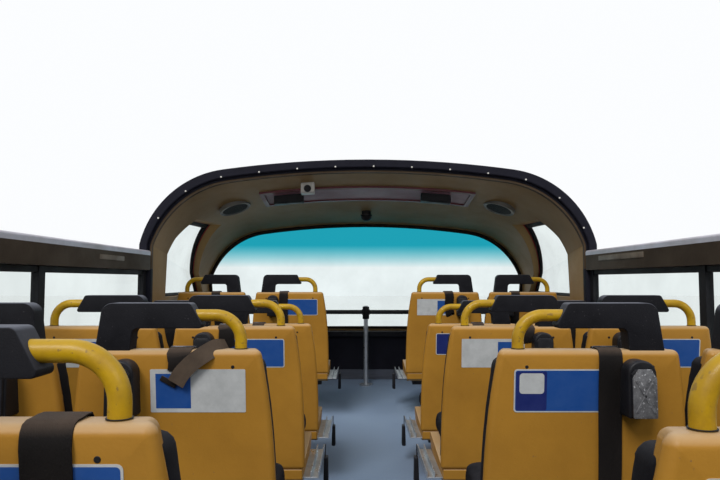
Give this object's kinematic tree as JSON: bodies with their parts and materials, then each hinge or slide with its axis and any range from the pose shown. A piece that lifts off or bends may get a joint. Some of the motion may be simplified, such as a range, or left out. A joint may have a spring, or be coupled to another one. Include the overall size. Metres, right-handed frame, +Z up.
{
  "type": "upper deck of an open top double decker bus",
  "caption": "Open upper deck of a double decker bus with paired mustard seats, yellow grab handles, low glazed sides, a front hood with windscreen and a stairwell.",
  "frame": {"origin": "middle of the deck's underside, on the plane it stands on", "axes": "+Y to the front of the bus, +X to its right, +Z up"},
  "size_m": [2.5, 6.26, 1.7019],
  "materials": {
    "black_plastic": "matte",
    "webbing": "woven",
    "polished_metal": "polished",
    "dash_vinyl": "satin",
    "frame_steel": "satin",
    "floor_board": "raw",
    "floor_vinyl": "satin",
    "black_tube": "satin",
    "body_paint": "gloss",
    "yellow_tube": "gloss",
    "pad_rubber": "satin",
    "lining": "satin",
    "black_rubber": "satin",
    "kick_metal": "brushed",
    "glass": "clear",
    "windscreen_glass": "tinted band at the top",
    "seat_fabric": "woven",
    "seat_shell": "satin",
    "rail_metal": "satin",
    "recess_trim": "satin",
    "white_plastic": "gloss"
  },
  "bodies": {
    "root": {"belt_buckles": "black_plastic", "belt_loops": "polished_metal", "belt_retractors": "black_plastic", "belt_straps": "webbing", "ceiling_boxes": "black_plastic", "ceiling_camera": "white_plastic", "ceiling_frame": "recess_trim", "ceiling_sensor": "black_plastic", "ceiling_speakers": "black_plastic", "dash_panel": "dash_vinyl", "deck_frame": "frame_steel", "floor_board": "floor_board", "floor_cover": "floor_vinyl", "front_handrail": "black_tube", "front_wall": "body_paint", "grab_handles": "yellow_tube", "headrest_pads": "pad_rubber", "hood_lining": "lining", "hood_rim_seal": "black_rubber", "hood_shell": "body_paint", "kick_strip": "kick_metal", "pane_posts": "black_rubber", "pane_seals": "black_rubber", "quarter_panes": "glass", "quarter_seals": "black_rubber", "rail_linings": "lining", "rear_pane": "glass", "rear_wall": "body_paint", "seat_back_cushions": "seat_fabric", "seat_back_shells": "seat_shell", "seat_base_cushions": "seat_fabric", "seat_pans": "seat_shell", "seat_pedestals": "frame_steel", "seat_side_channels": "polished_metal", "side_panes": "glass", "side_walls": "body_paint", "stair_guard": "yellow_tube", "stanchion": "polished_metal", "top_rail_rear": "rail_metal", "top_rails": "rail_metal", "windscreen": "windscreen_glass", "windscreen_seal": "black_rubber"}
  },
  "joints": []
}
